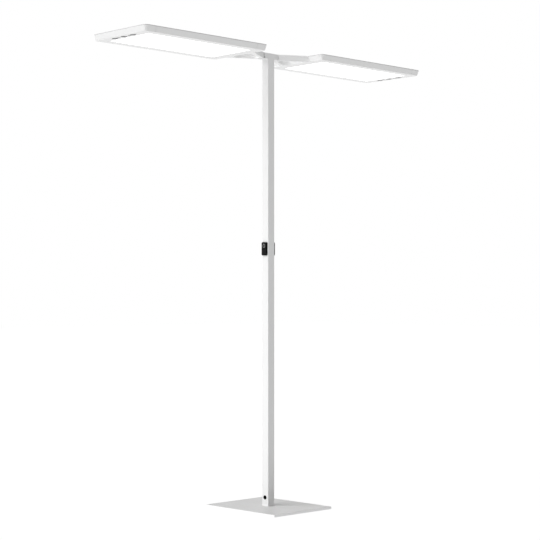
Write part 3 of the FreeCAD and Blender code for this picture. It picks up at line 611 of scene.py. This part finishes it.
def led_finish():
    """White board whose light chips, on its inner side, are yellow."""
    outer_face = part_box("right_led_strips")[1].y
    inner_face = outer_face - LIGHT_BOARD_DEPTH - 0.1 * CHIP_DEPTH
    finish = Finish("led_board", BOARD_WHITE, 0.45)
    front = finish.beyond("Y", inner_face, "LESS_THAN")
    back = finish.beyond("Y", -inner_face)
    chips = finish.node("ShaderNodeMath", operation="MULTIPLY")
    finish.link(front, chips.inputs[0])
    finish.link(back, chips.inputs[1])
    finish.vary_colour(chips.outputs[0], BOARD_WHITE, CHIP_YELLOW)
    return finish


# Modelling helpers

def deselect_all():
    """Leave edit mode and select nothing."""
    if bpy.context.object is not None and bpy.context.object.mode != "OBJECT":
        bpy.ops.object.mode_set(mode="OBJECT")
    bpy.ops.object.select_all(action="DESELECT")


def select_in_edit_mode(piece, kind, chosen):
    """Go to edit mode with just the chosen faces, or the chosen edges, selected."""
    bpy.ops.object.mode_set(mode="EDIT")
    bpy.ops.mesh.select_mode(type=kind)
    bpy.ops.mesh.select_all(action="DESELECT")
    bpy.ops.object.mode_set(mode="OBJECT")
    for item in piece.data.polygons if kind == "FACE" else piece.data.edges:
        item.select = chosen(item)
    bpy.ops.object.mode_set(mode="EDIT")


def edge_rise(piece, edge):
    """Height difference between an edge's two ends."""
    first, second = (piece.data.vertices[index].co for index in edge.vertices)
    return abs(first.z - second.z)


def finish_piece(piece, name, finish, body):
    """Name a piece, bake its place into its mesh, and fix it to a body."""
    piece.name = name
    piece.data.name = name
    bpy.ops.object.transform_apply(location=True, rotation=True, scale=True)
    piece.data.materials.clear()
    piece.data.materials.append(finish.material)
    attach(piece, body)
    return piece


def apply_modifier(piece, kind, name, **options):
    """Add a modifier, set it and apply it."""
    modifier = piece.modifiers.new(name, kind)
    for option, value in options.items():
        setattr(modifier, option, value)
    bpy.ops.object.modifier_apply(modifier=name)


# Operators

class FLOORLAMP_OT_stage(Operator):
    """Set the camera, the pale floor and the soft studio light"""

    bl_idname = "floorlamp.stage"
    bl_label = "Stage"

    def execute(self, context):
        stage = settings().stage
        self.add_camera(stage)
        self.add_floor(stage)
        self.add_room_light(stage)
        self.add_key_light(stage)
        context.scene.view_settings.view_transform = "Standard"
        return {"FINISHED"}

    def add_camera(self, stage):
        """Level camera at the photograph's place."""
        deselect_all()
        bpy.ops.object.camera_add(location=stage.camera_place,
                                  rotation=(math.pi / 2, 0, stage.camera_heading))
        camera = bpy.context.object
        camera.data.lens = stage.camera_lens
        camera.data.shift_y = stage.camera_rise
        camera.data.clip_end = 2 * stage.floor_width
        bpy.context.scene.camera = camera

    def add_floor(self, stage):
        """Floor: white where it is lit, darker in the lamp's shadow, clear from below."""
        deselect_all()
        bpy.ops.mesh.primitive_plane_add(size=stage.floor_width)
        floor = bpy.context.object
        floor.name = "studio_floor"
        floor.visible_diffuse = False
        floor.visible_glossy = False
        floor.visible_shadow = False
        material = bpy.data.materials.new("studio_floor")
        material.use_nodes = True
        tree = material.node_tree
        tree.nodes.clear()
        matt = add_node(tree, "ShaderNodeBsdfDiffuse",
                        {"Color": (*[stage.floor_colour] * 3, 1.0)})
        glow = add_node(tree, "ShaderNodeEmission", {"Strength": stage.floor_glow})
        both = add_node(tree, "ShaderNodeAddShader")
        surface = add_node(tree, "ShaderNodeNewGeometry")
        clear = add_node(tree, "ShaderNodeBsdfTransparent")
        side = add_node(tree, "ShaderNodeMixShader")
        end = add_node(tree, "ShaderNodeOutputMaterial")
        tree.links.new(matt.outputs[0], both.inputs[0])
        tree.links.new(glow.outputs[0], both.inputs[1])
        tree.links.new(surface.outputs["Backfacing"], side.inputs[0])
        tree.links.new(both.outputs[0], side.inputs[1])
        tree.links.new(clear.outputs[0], side.inputs[2])
        tree.links.new(side.outputs[0], end.inputs["Surface"])
        floor.data.materials.append(material)

    def add_room_light(self, stage):
        """Dim room above, pale floor's light below; the camera and gloss see plain white."""
        world = bpy.data.worlds.new("studio_room")
        bpy.context.scene.world = world
        world.use_nodes = True
        tree = world.node_tree
        tree.nodes.clear()
        direction = add_node(tree, "ShaderNodeTexCoord")
        parts = add_node(tree, "ShaderNodeSeparateXYZ")
        level = add_node(tree, "ShaderNodeMapRange",
                         {"From Min": -HORIZON_BLEND, "From Max": HORIZON_BLEND,
                          "To Min": stage.light_below, "To Max": stage.light_above},
                         interpolation_type="SMOOTHSTEP")
        rays = add_node(tree, "ShaderNodeLightPath")
        room = add_node(tree, "ShaderNodeBackground")
        white = add_node(tree, "ShaderNodeBackground",
                         {"Color": (1.0, 1.0, 1.0, 1.0), "Strength": 1.0})
        mix = add_node(tree, "ShaderNodeMixShader")
        end = add_node(tree, "ShaderNodeOutputWorld")
        tree.links.new(direction.outputs["Generated"], parts.inputs[0])
        tree.links.new(parts.outputs["Z"], level.inputs["Value"])
        tree.links.new(level.outputs["Result"], room.inputs["Color"])
        seen = rays.outputs["Is Camera Ray"]
        for ray in ("Is Glossy Ray", "Is Transmission Ray"):
            either = add_node(tree, "ShaderNodeMath", operation="MAXIMUM")
            tree.links.new(seen, either.inputs[0])
            tree.links.new(rays.outputs[ray], either.inputs[1])
            seen = either.outputs[0]
        tree.links.new(seen, mix.inputs[0])
        tree.links.new(room.outputs[0], mix.inputs[1])
        tree.links.new(white.outputs[0], mix.inputs[2])
        tree.links.new(mix.outputs[0], end.inputs["Surface"])

    def add_key_light(self, stage):
        """Wide soft light, high on the left."""
        deselect_all()
        towards = Vector((math.cos(stage.key_height) * math.cos(stage.key_heading),
                          math.cos(stage.key_height) * math.sin(stage.key_heading),
                          math.sin(stage.key_height)))
        heading = (-towards).to_track_quat("-Z", "Y").to_euler()
        bpy.ops.object.light_add(type="SUN", location=KEY_LIGHT_DISTANCE * towards,
                                 rotation=heading)
        light = bpy.context.object
        light.name = "key_light"
        light.data.energy = stage.key_level
        light.data.angle = stage.key_spread


class FLOORLAMP_OT_coat(Operator):
    """Powder coat on the mast, hub, arms and heads"""

    bl_idname = "floorlamp.coat"
    bl_label = "White Coat"

    def execute(self, context):
        coat = settings().coat
        shell = coat_finish("white_powder_coat", coat.colour, 0.0)
        # Top covers and hub cover get the darker grey coat: painted shade on their rims, with a
        # little dust on top
        painted_shade_covers = coat_finish("cover_coat_painted_shade", coat.painted_shade_cover_colour, DUST_ON_COVERS)
        # The left arm's tongue next to the hub is painted black: painted shade for the shadow in
        # the slit between arm and hub; the right arm has none
        slit_shade_coat = coat_finish("white_coat_painted_slit_shade", coat.colour, 0.0)
        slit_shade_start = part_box("hub_body")[0].x - 3 * MILLIMETRE
        slit_shade_coat.recolour(slit_shade_coat.beyond("X", slit_shade_start), PAINTED_SLIT_SHADE_BLACK)
        paint(["mast_tube", "hub_body", "right_forked_arm"], shell)
        paint(both_sides("front_rail", "rear_rail", "outer_end_cap"), shell)
        paint(["left_forked_arm"], slit_shade_coat)
        paint(["hub_cover"] + both_sides("top_cover"), painted_shade_covers)
        return {"FINISHED"}


class FLOORLAMP_OT_base(Operator):
    """Coat on the base plate, and the rubber pad under it"""

    bl_idname = "floorlamp.base"
    bl_label = "Base and Pad"

    def execute(self, context):
        coat = coat_finish("white_base_coat", settings().coat.base_colour, DUST_ON_BASE)
        # The base plate's sides, below its top face, are painted lighter than the top: painted
        # light for the light near the floor
        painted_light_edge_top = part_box("base_plate")[1].z - 0.5 * MILLIMETRE
        coat.recolour(coat.beyond("Z", painted_light_edge_top, "LESS_THAN"), PAINTED_LIGHT_BASE_EDGE_COLOUR)
        paint(["base_plate"], coat)
        paint(["mast_foot_block"], bare_metal("sawn_aluminium"))
        self.add_pad()
        return {"FINISHED"}

    def add_pad(self):
        """Pad with round corners and a shallow field inside its rim."""
        pad = settings().pad
        low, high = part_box("base_pad")
        deselect_all()
        bpy.ops.mesh.primitive_cube_add(size=1, location=(low + high) / 2)
        piece = bpy.context.object
        piece.scale = high - low
        bpy.ops.object.transform_apply(location=False, rotation=False, scale=True)
        select_in_edit_mode(piece, "FACE", lambda face: face.normal.z < -0.9)
        bpy.ops.mesh.inset(thickness=pad.lip)
        bpy.ops.mesh.extrude_region_move(TRANSFORM_OT_translate={"value": (0, 0, pad.groove)})
        thickness = high.z - low.z
        select_in_edit_mode(piece, "EDGE", lambda edge: edge_rise(piece, edge) > thickness / 2)
        bpy.ops.mesh.bevel(offset=pad.corner, segments=6, affect="EDGES")
        bpy.ops.object.mode_set(mode="OBJECT")
        finish_piece(piece, "floor_pad", rubber_finish(), "stand")
        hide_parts("base_pad")


class FLOORLAMP_OT_optics(Operator):
    """Lit sheets of the heads, and what lies over them"""

    bl_idname = "floorlamp.optics"
    bl_label = "Light Sheets"

    def execute(self, context):
        paint(both_sides("diffuser"), opal_finish())
        paint(both_sides("light_guide"), self.acrylic_finish())
        paint(both_sides("reflector"), plain_plastic("white_film"))
        paint(both_sides("carrier_plate"), bare_metal("rolled_aluminium"))
        paint(both_sides("led_driver"), plain_plastic("driver_case"))
        paint(both_sides("led_strips"), led_finish())
        return {"FINISHED"}

    def acrylic_finish(self):
        """Clear acrylic with a faint haze."""
        acrylic = Finish("clear_acrylic", (0.92, 0.95, 0.95), 0.06, Transmission_Weight=0.9,
                         IOR=1.49)
        haze = acrylic.node("ShaderNodeTexNoise", {"Scale": 40.0, "Detail": 2.0})
        acrylic.link(acrylic.place, haze.inputs["Vector"])
        acrylic.vary_roughness(haze.outputs["Fac"], 0.03, 0.1)
        return acrylic


class FLOORLAMP_OT_sensors(Operator):
    """Smoked sensor windows and their boards"""

    bl_idname = "floorlamp.sensors"
    bl_label = "Sensors"

    def execute(self, context):
        paint(both_sides("sensor_lens", "sensor_windows"), smoked_finish())
        paint(both_sides("sensor_board", "control_board"), circuit_finish())
        return {"FINISHED"}


class FLOORLAMP_OT_controls(Operator):
    """Black control units, with a plain ring on each upper key"""

    bl_idname = "floorlamp.controls"
    bl_label = "Control Units"

    def execute(self, context):
        black = settings().plastic.black
        paint(both_sides("control_housing"),
              moulded_finish("control_black", shade(black, 0.3), 0.6, 0.04))
        paint(both_sides("upper_key", "lower_key"),
              moulded_finish("key_black", black, 0.55, 0.05))
        ink = printed_mark_finish()
        for side in SIDES:
            self.add_ring(side, ink)
        return {"FINISHED"}

    def add_ring(self, side, ink):
        """Flat oval ring on the outer face of an upper key."""
        mark = settings().key_mark
        low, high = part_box(side + "_upper_key")
        outwards = 1 if side == "right" else -1
        face = high.x if side == "right" else low.x
        centre = (low + high) / 2
        deselect_all()
        bpy.ops.mesh.primitive_circle_add(vertices=mark.segments, radius=0.5,
                                          fill_type="NGON")
        ring = bpy.context.object
        ring.scale = (mark.width, mark.height, 1)
        bpy.ops.object.transform_apply(location=False, rotation=False, scale=True)
        bpy.ops.object.mode_set(mode="EDIT")
        bpy.ops.mesh.select_all(action="SELECT")
        bpy.ops.mesh.inset(thickness=mark.line)
        bpy.ops.mesh.delete(type="FACE")
        bpy.ops.object.mode_set(mode="OBJECT")
        apply_modifier(ring, "SOLIDIFY", "thickness", thickness=2 * mark.rise, offset=0)
        apply_modifier(ring, "BEVEL", "soft_edge", width=mark.rise / 2, segments=2)
        ring.rotation_euler = (math.pi / 2, 0, outwards * math.pi / 2)
        ring.location = (face, centre.y, centre.z)
        finish_piece(ring, side + "_key_ring", ink, side + "_upper_key")


class FLOORLAMP_OT_inlet(Operator):
    """Black cable inlet with its nut"""

    bl_idname = "floorlamp.inlet"
    bl_label = "Cable Inlet"

    def execute(self, context):
        inlet = moulded_finish("inlet_black", settings().plastic.inlet_black, 0.7, 0.03)
        paint(["cable_inlet", "inlet_nut"], inlet)
        return {"FINISHED"}


class FLOORLAMP_OT_fasteners(Operator):
    """Painted, plated and black screws"""

    bl_idname = "floorlamp.fasteners"
    bl_label = "Fasteners"

    def execute(self, context):
        white = settings().coat.colour
        painted = coat_finish("painted_screw", white, 0.0)
        paint(["mast_foot_screws", "mast_top_screws", "hub_cover_screws"], painted)
        paint(both_sides("cover_screws"), painted)
        paint(["mast_foot_bolts"] + both_sides("rail_screws"), bare_metal("plated_screw"))
        black_left = plain_plastic("black_screw")
        black_left.recolour(black_left.beyond("X", 0.0), white)
        paint(["arm_grub_screws"], black_left)
        return {"FINISHED"}


class FLOORLAMP_OT_wiring(Operator):
    """Cables, their spacers and the terminal block"""

    bl_idname = "floorlamp.wiring"
    bl_label = "Wiring"

    def execute(self, context):
        paint(["mast_cable"] + both_sides("head_cable"), plain_plastic("cable_sheath"))
        paint(["mast_cable_clips"], plain_plastic("spacer_grey"))
        paint(["terminal_block"], plain_plastic("terminal_white"))
        return {"FINISHED"}


class FLOORLAMP_PT_panel(Panel):
    """Panel that lists the lamp's pieces and its settings"""

    bl_idname = "FLOORLAMP_PT_panel"
    bl_label = "Floor Lamp"
    bl_space_type = "VIEW_3D"
    bl_region_type = "UI"
    bl_category = "Floor Lamp"

    def draw(self, context):
        for operator in OPERATORS:
            self.layout.operator(operator.bl_idname)
        for name in LampSettings.__annotations__:
            group = getattr(settings(), name)
            box = self.layout.box()
            box.label(text=name.replace("_", " ").capitalize())
            for setting in type(group).__annotations__:
                box.prop(group, setting)


SETTING_GROUPS = (CoatSettings, PlasticSettings, GlowSettings, KeyMarkSettings, PadSettings,
                  StageSettings, LampSettings)
OPERATORS = (FLOORLAMP_OT_stage, FLOORLAMP_OT_coat, FLOORLAMP_OT_base, FLOORLAMP_OT_optics,
             FLOORLAMP_OT_sensors, FLOORLAMP_OT_controls, FLOORLAMP_OT_inlet,
             FLOORLAMP_OT_fasteners, FLOORLAMP_OT_wiring)
CLASSES = SETTING_GROUPS + OPERATORS + (FLOORLAMP_PT_panel,)


def register():
    """Register the classes and the scene's settings."""
    for item in CLASSES:
        bpy.utils.register_class(item)
    bpy.types.Scene.floor_lamp = PointerProperty(type=LampSettings)


def unregister():
    """Remove the settings and the classes."""
    del bpy.types.Scene.floor_lamp
    for item in reversed(CLASSES):
        bpy.utils.unregister_class(item)


def main():
    """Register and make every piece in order."""
    register()
    bpy.ops.floorlamp.stage()
    bpy.ops.floorlamp.coat()
    bpy.ops.floorlamp.base()
    bpy.ops.floorlamp.optics()
    bpy.ops.floorlamp.sensors()
    bpy.ops.floorlamp.controls()
    bpy.ops.floorlamp.inlet()
    bpy.ops.floorlamp.fasteners()
    bpy.ops.floorlamp.wiring()


if __name__ == "__main__":
    main()
